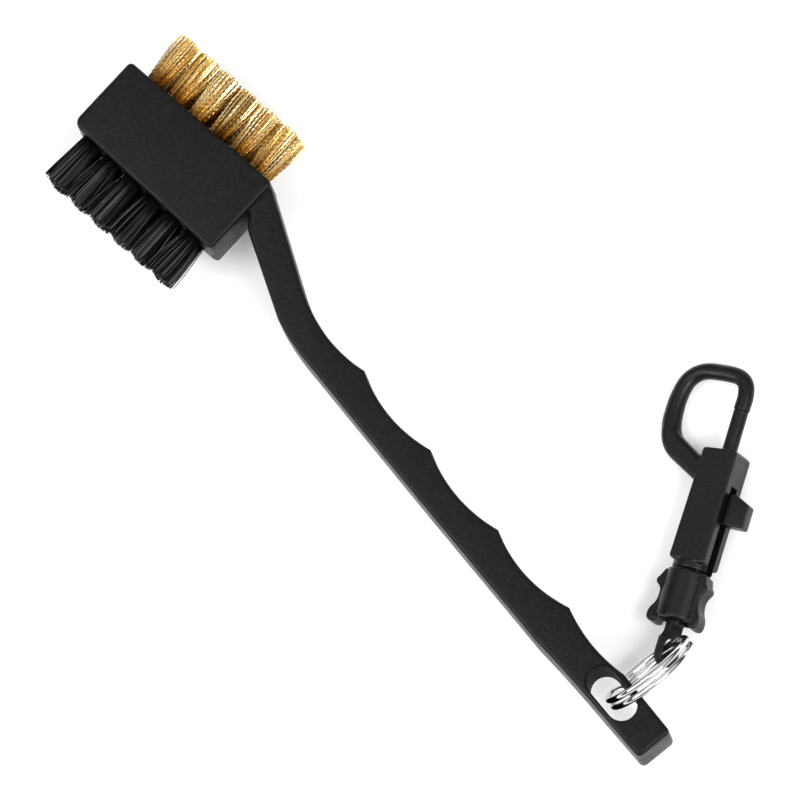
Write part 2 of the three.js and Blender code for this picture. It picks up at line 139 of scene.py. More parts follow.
BODY_X = 0.4
BODY_BOTTOM = 18.9
BODY_HALF_THICK = 4.15
CHANNEL_HALF = 2.3
CHANNEL_BOTTOM = 16.5
CHANNEL_TOP = 36.8
SIDE_SLOT_HALF = 1.6
NECK_X = 0.2
NECK_RADIUS = 4.3
BOLT_X = 0.7
BOLT_RADIUS = 1.6
BOLT_BORE = 1.9
BOLT_TIP = 53.36
BOLT_BLOCK_LOW = 28.35
BOLT_BLOCK_TOP = 35.3
BOLT_BLOCK_HALF = 2.0
BOLT_TAB_HALF = 1.7
BOLT_TAB_REACH = 9.25
BOLT_POCKET_TOP = 33.5
NOSE_END = 53.4
COLLAR_RADIUS = 4.7
WING_REACH_LEFT = 6.2
WING_REACH_RIGHT = 5.8
SPRING_RADIUS = 1.0
SPRING_WIRE = 0.19
SPRING_BOTTOM = 16.1
SPRING_TURNS = 10
SPRING_GAP = 0.1

# ------------------------------------------------------------------ mesh helpers


def mesh_of(name, verts, faces):
    """A new object in the scene from vertices and faces."""
    data = bpy.data.meshes.new(name)
    data.from_pydata([tuple(v) for v in verts], [], faces)
    obj = bpy.data.objects.new(name, data)
    bpy.context.scene.collection.objects.link(obj)
    return obj


def drop(obj):
    """Deletes an object and its mesh."""
    data = obj.data
    bpy.data.objects.remove(obj)
    bpy.data.meshes.remove(data)


def bake(obj):
    """Puts the result of obj's modifiers into its mesh."""
    graph = bpy.context.evaluated_depsgraph_get()
    old = obj.data
    new = bpy.data.meshes.new_from_object(obj.evaluated_get(graph))
    obj.modifiers.clear()
    obj.data = new
    bpy.data.meshes.remove(old)
    return obj


def boolean(obj, other, operation):
    """Cuts obj with other, or unites them, and deletes other."""
    modifier = obj.modifiers.new("cut", "BOOLEAN")
    modifier.operation = operation
    modifier.solver = "EXACT"
    modifier.object = other
    bake(obj)
    drop(other)
    return obj


def join(name, objs):
    """One mesh of several, left overlapping."""
    made = bmesh.new()
    for obj in objs:
        made.from_mesh(obj.data)
    data = bpy.data.meshes.new(name)
    made.to_mesh(data)
    made.free()
    for obj in objs:
        drop(obj)
    obj = bpy.data.objects.new(name, data)
    bpy.context.scene.collection.objects.link(obj)
    return obj


def melt(obj, voxel, smoothing):
    """Overlapping solids become one moulded skin, with its inner corners softened."""
    modifier = obj.modifiers.new("melt", "REMESH")
    modifier.mode = "VOXEL"
    modifier.voxel_size = voxel
    smooth = obj.modifiers.new("smooth", "SMOOTH")
    smooth.factor = 0.5
    smooth.iterations = smoothing
    return bake(obj)


def outward(points):
    """Outward miter normals of a counter-clockwise outline."""
    edges = np.roll(points, -1, 0) - points
    edges /= np.linalg.norm(edges, axis=1)[:, None]
    normals = np.stack([edges[:, 1], -edges[:, 0]], 1)
    total = normals + np.roll(normals, 1, 0)
    return total / (1 + (normals * np.roll(normals, 1, 0)).sum(1))[:, None]


def layered(name, outline, layers):
    """A prism along Z whose outline grows or shrinks by the offset of each (z, offset) layer."""
    points = np.array(outline, float)
    normals = outward(points)
    n = len(points)
    verts = []
    for z, offset in layers:
        for x, y in points + offset * normals:
            verts.append((x, y, z))
    faces = [list(range(n))[::-1]]
    for k in range(len(layers) - 1):
        for i in range(n):
            j = (i + 1) % n
            faces.append([k * n + i, k * n + j, (k + 1) * n + j, (k + 1) * n + i])
    faces.append([(len(layers) - 1) * n + i for i in range(n)])
    return mesh_of(name, verts, faces)


def rounded_layers(low, high, radius, steps=5):
    """Layers for a prism whose bottom and top edges are rounded."""
    angles = [math.pi / 2 * k / steps for k in range(steps + 1)]
    rises = [(radius * (1 - math.sin(a)), -radius * (1 - math.cos(a))) for a in angles]
    bottom = [(low + rise, offset) for rise, offset in rises[::-1]]
    top = [(high - rise, offset) for rise, offset in rises]
    return bottom + top


def path(start, *steps):
    """Points of an outline: (x, y) draws a line, and (cx, cy, x, y) a curve with its control point."""
    points = [start]
    for step in steps:
        x0, y0 = points[-1]
        if len(step) == 2:
            length = math.dist((x0, y0), step)
            count = max(1, int(length / 2.5))
            for k in range(1, count + 1):
                share = k / count
                points.append((x0 + (step[0] - x0) * share, y0 + (step[1] - y0) * share))
        else:
            cx, cy, x, y = step
            length = math.dist((x0, y0), (cx, cy)) + math.dist((cx, cy), (x, y))
            count = int(min(24, max(6, length / 0.8)))
            for k in range(1, count + 1):
                t = k / count
                points.append(
                    (
                        (1 - t) ** 2 * x0 + 2 * t * (1 - t) * cx + t * t * x,
                        (1 - t) ** 2 * y0 + 2 * t * (1 - t) * cy + t * t * y,
                    )
                )
    if math.dist(points[0], points[-1]) < 1e-6:
        points.pop()
    return points


def arc(x, y, radius, start, end, count=8):
    """Points along an arc, with its angles in degrees."""
    angles = [math.radians(start + (end - start) * k / count) for k in range(count + 1)]
    return [(x + radius * math.cos(a), y + radius * math.sin(a)) for a in angles]


def rounded_box(x0, x1, y0, y1, radius):
    """A rectangle's outline with all four corners rounded."""
    return (
        arc(x0 + radius, y0 + radius, radius, 180, 270)
        + arc(x1 - radius, y0 + radius, radius, 270, 360)
        + arc(x1 - radius, y1 - radius, radius, 0, 90)
        + arc(x0 + radius, y1 - radius, radius, 90, 180)
    )


def rounded_corners(corners):
    """A convex counter-clockwise outline of (x, y, radius) corners."""
    points = []
    for i, (x, y, radius) in enumerate(corners):
        corner = np.array((x, y))
        before = np.array(corners[i - 1][:2]) - corner
        after = np.array(corners[(i + 1) % len(corners)][:2]) - corner
        before = before / np.linalg.norm(before)
        after = after / np.linalg.norm(after)
        half = math.acos(before @ after) / 2
        inwards = (before + after) / np.linalg.norm(before + after)
        centre = corner + inwards * radius / math.sin(half)
        start = corner + before * radius / math.tan(half) - centre
        end = corner + after * radius / math.tan(half) - centre
        first = math.degrees(math.atan2(start[1], start[0]))
        last = math.degrees(math.atan2(end[1], end[0]))
        if last < first:
            last += 360
        points += arc(*centre, radius, first, last, 6)
    return points


def stadium(x, y, half_x, half_y):
    """A slot's outline, round at both ends, from its centre and half sizes."""
    if half_x > half_y:
        side = half_x - half_y
        return arc(x + side, y, half_y, -90, 90, 20) + arc(x - side, y, half_y, 90, 270, 20)
    side = half_y - half_x
    return arc(x, y + side, half_x, 0, 180, 20) + arc(x, y - side, half_x, 180, 360, 20)


def box(name, x0, x1, y0, y1, z0, z1):
    """A plain box, used to cut with and for the floor."""
    return layered(name, [(x0, y0), (x1, y0), (x1, y1), (x0, y1)], [(z0, 0), (z1, 0)])


def lathe(name, profile, sides, x=0.0):
    """A solid turned about the Y axis from (radius, y) points, closed on the axis at both ends."""
    verts = [(x, profile[0][1], 0.0), (x, profile[-1][1], 0.0)]
    for radius, y in profile:
        for i in range(sides):
            a = 2 * math.pi * i / sides
            verts.append((x + radius * math.cos(a), y, -radius * math.sin(a)))
    faces = []
    last = 2 + (len(profile) - 1) * sides
    for i in range(sides):
        j = (i + 1) % sides
        faces.append([0, 2 + j, 2 + i])
        faces.append([1, last + i, last + j])
        for k in range(len(profile) - 1):
            low = 2 + k * sides
            high = low + sides
            faces.append([low + i, low + j, high + j, high + i])
    return mesh_of(name, verts, faces)


def sweep_frames(points):
    """Two unit vectors across a path at each of its points, carried along without twist."""
    tangents = np.gradient(points, axis=0)
    tangents /= np.linalg.norm(tangents, axis=1)[:, None]
    side = np.cross(tangents[0], [0.3, 0.2, 0.93])
    sides = []
    for t in tangents:
        side = side - t * (side @ t)
        side = side / np.linalg.norm(side)
        sides.append(side)
    sides = np.array(sides)
    return sides, np.cross(tangents, sides)


def tube_parts(points, radii, sides):
    """Vertices and faces of a closed tube of the given radius at each point."""
    points = np.array(points, float)
    across, up = sweep_frames(points)
    angles = 2 * math.pi * np.arange(sides) / sides
    rings = (
        points[:, None, :]
        + radii[:, None, None] * np.cos(angles)[None, :, None] * across[:, None, :]
        + radii[:, None, None] * np.sin(angles)[None, :, None] * up[:, None, :]
    )
    faces = [list(range(sides))[::-1]]
    for k in range(len(points) - 1):
        for i in range(sides):
            j = (i + 1) % sides
            faces.append([k * sides + i, k * sides + j, (k + 1) * sides + j, (k + 1) * sides + i])
    faces.append([(len(points) - 1) * sides + i for i in range(sides)])
    return rings.reshape(-1, 3), faces


def tube(name, points, radius, sides):
    """A closed tube of one radius along the points."""
    verts, faces = tube_parts(points, np.full(len(points), radius), sides)
    return mesh_of(name, verts, faces)


def spline(points, per_span=10):
    """A smooth curve through the points."""
    p = np.array(points, float)
    p = np.vstack([2 * p[0] - p[1], p, 2 * p[-1] - p[-2]])
    made = []
    for i in range(1, len(p) - 2):
        for k in range(per_span):
            t = k / per_span
            a, b, c, d = p[i - 1], p[i], p[i + 1], p[i + 2]
            made.append(
                0.5 * (2 * b + (c - a) * t + (2 * a - 5 * b + 4 * c - d) * t * t
                       + (3 * b - a - 3 * c + d) * t ** 3)
            )
    made.append(p[-2])
    return np.array(made)


def finish_piece(obj, name, body, place, replaces, material, sharp=38):
    """Places a piece, in metres, shades it smooth up to the sharp angle, and hangs it on its body."""
    obj.data.transform(place)
    obj.data.transform(Matrix.Scale(MM, 4))
    made = bmesh.new()
    made.from_mesh(obj.data)
    bmesh.ops.remove_doubles(made, verts=made.verts, dist=1e-7)
    bmesh.ops.recalc_face_normals(made, faces=made.faces)
    limit = math.radians(sharp)
    for face in made.faces:
        face.smooth = True
    for edge in made.edges:
        edge.smooth = len(edge.link_faces) == 2 and edge.calc_face_angle(0) < limit
    made.to_mesh(obj.data)
    made.free()
    obj.name = name
    obj.data.name = name
    obj.data.materials.clear()
    obj.data.materials.append(material)
    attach(obj, body)
    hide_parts(*replaces)
    return obj


# ------------------------------------------------------------------ materials


class Look:
    """A small builder for procedural materials. Noise scales count cells per metre."""

    def __init__(self, name):
        self.material = bpy.data.materials.new(name)
        self.material.use_nodes = True
        self.tree = self.material.node_tree
        self.shader = self.tree.nodes["Principled BSDF"]
        self.place = self.tree.nodes.new("ShaderNodeTexCoord")

    def node(self, kind, **settings):
        made = self.tree.nodes.new(kind)
        for key, value in settings.items():
            setattr(made, key, value)
        return made

    def link(self, source, target):
        self.tree.links.new(source, target)

    def noise(self, scale, detail=3.0, rough=0.55, stretch=(1, 1, 1)):
        shift = self.node("ShaderNodeMapping")
        shift.inputs["Scale"].default_value = stretch
        self.link(self.place.outputs["Object"], shift.inputs["Vector"])
        made = self.node("ShaderNodeTexNoise")
        made.inputs["Scale"].default_value = scale
        made.inputs["Detail"].default_value = detail
        made.inputs["Roughness"].default_value = rough
        self.link(shift.outputs["Vector"], made.inputs["Vector"])
        return made.outputs["Fac"]

    def ramp(self, source, stops):
        made = self.node("ShaderNodeValToRGB")
        elements = made.color_ramp.elements
        while len(elements) < len(stops):
            elements.new(0.5)
        for element, (position, color) in zip(elements, stops):
            element.position = position
            element.color = (*color, 1)
        self.link(source, made.inputs["Fac"])
        return made.outputs["Color"]

    def spread(self, source, low, high):
        """A noise stretched to run from low to high."""
        made = self.node("ShaderNodeMapRange")
        made.inputs["From Min"].default_value = 0.3
        made.inputs["From Max"].default_value = 0.7
        made.inputs["To Min"].default_value = low
        made.inputs["To Max"].default_value = high
        self.link(source, made.inputs["Value"])
        return made.outputs["Result"]

    def bump(self, source, strength, distance, under=None):
        made = self.node("ShaderNodeBump")
        made.inputs["Strength"].default_value = strength
        made.inputs["Distance"].default_value = distance
        self.link(source, made.inputs["Height"])
        if under is not None:
            self.link(under, made.inputs["Normal"])
        return made.outputs["Normal"]

    def to(self, socket, source):
        self.link(source, self.shader.inputs[socket])


def grey(value):
    """A grey that leans a little to olive."""
    return (value, value, value * 0.96)


def moulded(name, dark, light, rough_low, rough_high, grain, strength, gloss):
    """Black moulded plastic: uneven gloss, a fine spark-eroded grain and slow waviness."""
    look = Look(name)
    speckle = look.noise(grain, 3, 0.6)
    look.to("Base Color", look.ramp(speckle, [(0.3, grey(dark)), (0.7, grey(light))]))
    look.to("Roughness", look.spread(look.noise(260, 3), rough_low, rough_high))
    slow = look.bump(look.noise(70, 2), 0.12, 0.0004)
    look.to("Normal", look.bump(speckle, strength, 0.0002, slow))
    look.shader.inputs["Specular IOR Level"].default_value = gloss
    return look.material


handle_plastic = moulded("handle_plastic", dark=0.0008, light=0.0075, rough_low=0.35, rough_high=0.49,
                         grain=1900, strength=0.35, gloss=0.15)
# Painted shade: a darker, duller copy of the handle plastic for the walls inside the slot.
slot_painted_shade = moulded("slot_painted_shade", dark=0.0008, light=0.004, rough_low=0.5, rough_high=0.6,
                       grain=1900, strength=0.35, gloss=0.03)
clip_plastic = moulded("clip_plastic", dark=0.0008, light=0.007, rough_low=0.3, rough_high=0.42,
                       grain=2200, strength=0.3, gloss=0.22)


def metal(name, dark, light, grain, rough_low, rough_high, rough_grain, rough_detail=3):
    """Bare or plated metal with a slight drift in its tone and its polish."""
    look = Look(name)
    look.shader.inputs["Metallic"].default_value = 1.0
    look.to("Base Color", look.ramp(look.noise(grain), [(0.3, dark), (0.7, light)]))
    look.to("Roughness", look.spread(look.noise(rough_grain, rough_detail), rough_low, rough_high))
    return look.material


def strand_tone_and_shade(look):
    """Each strand's own tone times its painted shade towards the root, from 0 to 1, kept on the mesh.
    """
    tone = look.node("ShaderNodeAttribute", attribute_name="strand_tone_and_shade")
    return tone.outputs["Fac"]


def brass_look():
    """Bright brass wire, from brown in the shaded roots to pale gold."""
    look = Look("brass_wire")
    look.shader.inputs["Metallic"].default_value = 1.0
    # The dark brown end is reached mostly through the painted shade at the roots.
    gold = [
        (0.0, (0.06, 0.02, 0.003)), (0.35, (0.45, 0.24, 0.05)),
        (0.65, (0.92, 0.64, 0.24)), (1.0, (1.0, 0.92, 0.6)),
    ]
    look.to("Base Color", look.ramp(strand_tone_and_shade(look), gold))
    look.to("Roughness", look.spread(look.noise(1200, 3), 0.2, 0.34))
    return look.material


def nylon_look():
    """Matt black nylon, with single strands painted light grey as painted highlights, and painted shade
    at the roots.
    """
    look = Look("black_nylon")
    # Painted highlights: the top of the ramp paints some strands light grey in place of the light they
    # would catch.
    tones = [
        (0.0, (0.0003, 0.0003, 0.0003)), (0.5, (0.0016, 0.0016, 0.0016)),
        (1.0, (0.08, 0.08, 0.075)),
    ]
    look.to("Base Color", look.ramp(strand_tone_and_shade(look), tones))
    look.to("Roughness", look.spread(look.noise(1400, 3), 0.3, 0.45))
    look.shader.inputs["Specular IOR Level"].default_value = 0.015
    return look.material


ring_chrome = metal("ring_chrome", dark=(0.60, 0.60, 0.61), light=(0.68, 0.68, 0.69), grain=120,
                    rough_low=0.1, rough_high=0.17, rough_grain=300)
spring_steel = metal("spring_steel", dark=(0.42, 0.42, 0.43), light=(0.62, 0.62, 0.63), grain=300,
                     rough_low=0.22, rough_high=0.38, rough_grain=900, rough_detail=4)
brass_anchor = metal("brass_anchor", dark=(0.6, 0.4, 0.14), light=(0.8, 0.57, 0.22), grain=400,
                     rough_low=0.3, rough_high=0.45, rough_grain=900)
brass_wire = brass_look()
black_nylon = nylon_look()

# ------------------------------------------------------------------ handle


def tuft_places(kind):
    """Row, number and place along and through the head of each tuft of one kind."""
    centre = (TUFTS_PER_ROW - 1) / 2
    for row, z in ROWS.items():
        for i in range(TUFTS_PER_ROW):
            yield row, i + 1, kind["middle"] + (i - centre) * kind["pitch"], z


def head_side(x):
    """How far the head's side stands from its middle line at x along the head."""
    share = (x + HEAD_HALF) / (2 * HEAD_HALF)
    return HEAD_SIDE_FAR + share * (HEAD_SIDE_NEAR - HEAD_SIDE_FAR)


def make_head():
    """The bristle block: a tapered block with soft edges, more rounded along its back."""
    outline = rounded_corners([
        (-HEAD_HALF, -HEAD_SIDE_FAR, 2.0),
        (HEAD_HALF, -HEAD_SIDE_NEAR, 1.1),
        (HEAD_HALF, HEAD_SIDE_NEAR, 1.1),
        (-HEAD_HALF, HEAD_SIDE_FAR, 1.1),
    ])
    head = layered("head", outline, rounded_layers(0, HEAD_THICK, 0.8))
    side = HEAD_SIDE_NEAR + 0.02
    section = rounded_corners([
        (0, -side, HEAD_BACK_EDGE),
        (HEAD_THICK, -side, 0.05),
        (HEAD_THICK, side, 0.05),
        (0, side, HEAD_BACK_EDGE),
    ])
    rounding = layered("rounding", section, [(-HEAD_HALF - 1, 0), (HEAD_HALF + 1, 0)])
    rounding.data.transform(Matrix.Rotation(-math.pi / 2, 4, "Y"))
    boolean(head, rounding, "INTERSECT")
    head.data.transform(HEAD_PLACE)
    return head


def make_grip():
    """The cranked neck and the grip, with its finger grooves on one side."""
    steps = [(18.1, 13.5), (38.6, 5.15), (44.5, 2.6, 51.3, 2.2), (57, 2.1, *CUSPS[0])]
    for i, (x, y) in enumerate(CUSPS):
        next_x, next_y = CUSPS[i + 1] if i < 3 else (147.5, 4.55)
        pull = 2 * GROOVE_FLOORS[i] - (y + next_y) / 2
        steps.append(((x + next_x) / 2, pull, next_x, next_y))
    corner = 1.2
    half = 4.35
    turn = GRIP_END - corner
    upper = path((17.5, 12.3), *steps, (turn, half))
    end = arc(turn, half - corner, corner, 90, 0) + arc(turn, corner - half, corner, 0, -90)
    lower = path(
        (turn, -half),
        (147, -4.5),
        (138, -4.6, 130, -5.15),
        (90, -5.0),
        (55, -4.65),
        (46, -4.7, 41, -3.25),
        (22.8, 3.55),
        (20.8, 4.5, 20.0, 6.2),
        (17.5, 6.6),
    )
    outline = (upper[:-1] + end + lower[1:])[::-1]
    return layered("grip", outline, rounded_layers(GRIP_LOW, GRIP_TOP, 0.9))


def make_handle():
    handle = boolean(make_head(), make_grip(), "UNION")

    bevel = 0.35
    slot_layers = [
        (-1, bevel + 0.2),
        (GRIP_LOW, bevel),
        (GRIP_LOW + bevel, 0.0),
        (GRIP_TOP - bevel, 0.0),
        (GRIP_TOP, bevel),
        (HEAD_THICK + 1, bevel + 0.2),
    ]
    slot = layered("slot", stadium(SLOT_X, 0, SLOT_HALF, SLOT_RADIUS), slot_layers)
    boolean(handle, slot, "DIFFERENCE")

    cutters = []
    for kind in (BRASS, NYLON):
        for _, _, x, z in tuft_places(kind):
            edge = head_side(x)
            wide = HOLE_RADIUS + 0.3
            profile = [
                (HOLE_RADIUS, HOLE_FLOOR),
                (HOLE_RADIUS, edge - 0.2),
                (wide, edge + 0.15),
                (wide, edge + 2),
            ]
            bore = lathe("bore", profile, 32)
            if kind["side"] < 0:
                bore.data.transform(Matrix.Rotation(math.pi, 4, "Z"))
            bore.data.transform(Matrix.Translation((x, 0, z)))
            bore.data.transform(HEAD_PLACE)
            cutters.append(bore)
    boolean(handle, join("bores", cutters), "DIFFERENCE")
    finish_piece(handle, "handle_moulding", "brush", place=Matrix.Identity(4), replaces=["handle"],
                 material=handle_plastic, sharp=30)

    # Painted shade: the upright faces inside the slot take the darker slot material.
    handle.data.materials.append(slot_painted_shade)
    reach = 0.1
    for face in handle.data.polygons:
        along = abs(face.center.x / MM - SLOT_X)
        across = abs(face.center.y / MM)
        upright = abs(face.normal.z) < 0.2
        if upright and along < SLOT_HALF + reach and across < SLOT_RADIUS + reach:
            face.material_index = 1


make_handle()

# ------------------------------------------------------------------ bristles


def disc_points(count, radius):
    """Points spread evenly over a disc, a little disturbed."""
    golden_angle = math.pi * (3 - math.sqrt(5))
    k = np.arange(count) + 0.5
    r = radius * np.sqrt(k / count)
    a = k * golden_angle
    jitter = rng.normal(0, 0.05, (count, 2))
    return np.stack([r * np.cos(a), r * np.sin(a)], 1) + jitter


def strand_bundle(name, paths, radius, sides, tones):
    """One mesh of many thin strands, each a closed tube with its own tone and a painted shade that
    darkens it towards its root.
    """
    root_shade = 0.15
    verts = []
    faces = []
    shade = []
    for points, tone in zip(paths, tones):
        start = len(verts)
        strand_verts, strand_faces = tube_parts(points, np.full(len(points), radius), sides)
        verts.extend(strand_verts)
        faces.extend([[start + i for i in face] for face in strand_faces])
        along = np.linspace(0, 1, len(points)).repeat(sides)
        # Painted shade: the tone falls to root_shade of itself at the root, standing in for the shade
        # among the roots.
        light = root_shade + (1 - root_shade) * np.clip(along * 2.2, 0, 1)
        shade.extend(np.clip(tone * light, 0, 1))
    obj = mesh_of(name, verts, faces)
    layer = obj.data.attributes.new("strand_tone_and_shade", "FLOAT", "POINT")
    layer.data.foreach_set("value", np.array(shade, np.float32))
    return obj


def strands(kind, x):
    """Paths of one tuft's strands around its own axis, from inside the hole to the tips."""
    bottom = head_side(x) - STRAND_ROOT_DEPTH
    crimp = kind["crimp"]
    roots = disc_points(STRANDS_PER_TUFT, kind["root"])
    spread = kind["flare"] / kind["root"]
    paths = []
    for rx, rz in roots:
        reach = math.hypot(rx, rz) / kind["root"]
        tip = kind["tip"] - kind["crown"] * reach * reach - abs(rng.normal(0, STRAND_SCATTER))
        t = np.linspace(0, 1, kind["points"])
        y = bottom + t * (tip - bottom)
        open_up = 1 + (spread - 1) * np.clip(t * 1.3, 0, 1)
        px = rx * open_up + (rng.normal(0, STRAND_SPLAY) + kind["lean"]) * t
        pz = rz * open_up + rng.normal(0, STRAND_SPLAY) * t
        if crimp:
            phase = rng.uniform(0, 2 * math.pi)
            turn = rng.uniform(0, 2 * math.pi)
            wave = crimp * np.sin(2 * math.pi * y / CRIMP_PERIOD + phase) * np.clip(t * 4, 0, 1)
            px = px + wave * math.cos(turn)
            pz = pz + wave * math.sin(turn)
        else:
            px = px + rng.normal(0, STRAND_BOW) * t * t
        paths.append(np.stack([px, y, pz], 1))
    return paths


def make_bristles(kind, material):
    for row, i, x, z in tuft_places(kind):
        paths = strands(kind, x)
        tones = np.clip(rng.normal(0.6, 0.3, STRANDS_PER_TUFT), 0, 1)
        name = f"{kind['name']}_bristles_{row}_{i}"
        tuft = strand_bundle(name, paths, kind["wire"], STRAND_SIDES, tones)
        if kind["side"] < 0:
            tuft.data.transform(Matrix.Rotation(math.pi, 4, "Z"))
        tuft.data.transform(Matrix.Translation((x, 0, z)))
        finish_piece(tuft, name, "brush", place=HEAD_PLACE,
                     replaces=[f"{kind['name']}_tuft_{row}_{i}"],
                     material=material, sharp=80)


make_bristles(BRASS, brass_wire)
make_bristles(NYLON, black_nylon)

# ------------------------------------------------------------------ split ring


def make_ring():
    """Wire wound twice, with the step between the turns next to its ends."""
    turned = np.linspace(0, 4 * math.pi - RING_STEP - RING_END_GAP, 420)
    angle = RING_START + turned
    front = (1 + np.sin(angle)) / 2
    spread = RING_SPREAD_BACK + front * RING_SPREAD_MORE
    across = np.clip((turned - (2 * math.pi - RING_STEP)) / RING_STEP, 0, 1)
    share = across * across * (3 - 2 * across)
    points = np.stack(
        [RING_RADIUS * np.cos(angle), RING_RADIUS * np.sin(angle), (share - 0.5) * spread], 1
    )
    ring = tube("ring", points, RING_WIRE, 36)
    along = Vector((0, 1, 0))
    axle = along.cross(RING_UP)
    basis = Matrix((along, RING_UP, axle)).transposed().to_4x4()
    finish_piece(ring, "split_ring_wire", "ring", place=Matrix.Translation(RING_CENTRE) @ basis,
                 replaces=["split_ring"], material=ring_chrome, sharp=50)


make_ring()

# ------------------------------------------------------------------ snap hook


def make_eye():
    """The flat eye strap, its stem and the head that holds it in the collar."""
    outline = path(
        (1.9, 6.8),
        (-1.9, 6.8),
        (-1.9, 4.5),
        (-1.9, 3.3, -2.8, 2.3),
        (-2.8, -0.85),
    )
    outline = (
        outline[:-1]
        + arc(0, -0.85, 2.8, 180, 360, 24)[:-1]
        + path((2.8, -0.85), (2.8, 2.3), (1.9, 3.3, 1.9, 4.5))
    )
    eye = layered("eye", outline, rounded_layers(-1, 1, 0.4))
    stem = lathe("stem", [(1.5, 5.6), (1.5, 13.3), (2.4, 13.3), (2.4, 15.3), (2.1, 15.6)], 32)
    eye = melt(join("eye", [eye, stem]), 0.14, 3)
    hole = layered("hole", stadium(0, -0.02, 1.7, 2.57),
                   [(-2, 0.8), (-1.0, 0.3), (-0.7, 0.0), (0.7, 0.0), (1.0, 0.3), (2, 0.8)])
    boolean(eye, hole, "DIFFERENCE")
    finish_piece(eye, "eye_strap", "eye", place=EYE_PLACE, replaces=["swivel_eye"],
                 material=clip_plastic)


def wing(side):
    """One finger wing of the collar, with a pinched waist between two lobes."""
    reach = WING_REACH_RIGHT if side > 0 else WING_REACH_LEFT
    outline = path(
        (3.2, 7.4),
        (3.9, 5.35),
        (reach - 0.2, 4.8, reach, 6.4),
        (reach + 0.1, 7.9, 5.2, 9.0),
        (4.5, 10.6, 4.8, 12.1),
        (5.0, 12.9, reach - 0.3, 13.4),
        (reach + 0.3, 14.3, reach - 0.6, 15.1),
        (4.75, 16.8),
        (3.2, 16.8),
        (3.2, 7.4),
    )
    made = layered("wing", outline, rounded_layers(-2.3, 2.3, 0.5))
    if side < 0:
        made.data.transform(Matrix.Rotation(math.pi, 4, "Y"))
    return made


def make_collar():
    """The turned collar with its wings, bored for the stem."""
    profile = [
        (4.2, 6.35),
        (4.55, 6.45),
        (COLLAR_RADIUS, 6.8),
        (COLLAR_RADIUS, 16.6),
        (4.6, 17.0),
        (4.3, 17.2),
    ]
    barrel = lathe("barrel", profile, 64)
    collar = melt(join("collar", [barrel, wing(1), wing(-1)]), 0.14, 3)
    bore = lathe("bore", [(1.8, 5.0), (1.8, 15.0)], 40)
    recess = lathe("recess", [(3.7, 4.0), (3.7, 6.5), (3.5, 6.9), (3.5, 7.7)], 40)
    pocket = lathe("pocket", [(2.7, 13.0), (2.7, 19.0)], 40)
    for cut in (bore, recess, pocket):
        boolean(collar, cut, "DIFFERENCE")
    finish_piece(collar, "collar_moulding", "clip", place=HOOK_PLACE, replaces=["finger_collar"],
                 material=clip_plastic)


def make_body():
    """The hook body: block, neck, round hook and flat arm in one moulding, cut out for the bolt."""
    outline = rounded_corners([
        (-4.1, BODY_BOTTOM, 0.8), (4.15, BODY_BOTTOM, 0.8), (4.3, 44.15, 0.9), (-3.5, 43.5, 0.6),
    ])
    block = layered("block", outline, rounded_layers(-BODY_HALF_THICK, BODY_HALF_THICK, 0.45))
    neck = lathe("neck", [(4.1, 17.5), (NECK_RADIUS, 17.7), (NECK_RADIUS, 19.1)], 48, NECK_X)
    line = spline([
        (BOLT_X, NOSE_END, 0), (BOLT_X, 56.6, 0), (-0.1, 59.1, 0), (-2.2, 60.4, 0),
        (-6.2, 60.5, 0), (-10.0, 60.0, 0), (-12.7, 57.9, 0), (-13.9, 54.4, 0),
        (-14.1, 49.8, 0), (-13.5, 46.3, 0), (-11.8, 43.2, 0),
    ])
    share = np.linspace(0, 1, len(line))
    thickness = np.interp(share, [0, 0.15, 0.5, 0.7, 0.85, 1.0], [1.74, 1.74, 1.74, 1.88, 2.1, 2.2])
    rod = mesh_of("rod", *tube_parts(line, thickness, 28))
    arm_outline = path(
        (-12.6, 47.4),
        (-12.0, 46.3, -9.7, 44.8),
        (-5.3, 42.2),
        (-2.4, 42.2),
        (-2.4, 36.4),
        (-4.6, 36.5),
        (-11.4, 40.2),
        (-14.6, 42.1, -15.3, 46.0),
        (-15.0, 47.4),
        (-12.6, 47.4),
    )[::-1]
    arm = layered("arm", arm_outline, rounded_layers(-2.2, 2.2, 1.3))
    body = melt(join("body", [block, neck, rod, arm]), 0.15, 2)
    channel = box("channel", BODY_X - CHANNEL_HALF, BODY_X + CHANNEL_HALF,
                  CHANNEL_BOTTOM, CHANNEL_TOP, -CHANNEL_HALF, CHANNEL_HALF)
    side_slot = box("side_slot", BODY_X, BODY_X + 8.3,
                    CHANNEL_BOTTOM, CHANNEL_TOP, -SIDE_SLOT_HALF, SIDE_SLOT_HALF)
    mouth = BOLT_BORE + 0.3
    bore_profile = [(BOLT_BORE, 35.8), (BOLT_BORE, 43.4), (mouth, 43.9), (mouth, 46.0)]
    bore = lathe("bore", bore_profile, 32, BOLT_X)
    for cut in (channel, side_slot, bore):
        boolean(body, cut, "DIFFERENCE")
    finish_piece(body, "hook_moulding", "clip", place=HOOK_PLACE, replaces=["snap_body"],
                 material=clip_plastic)


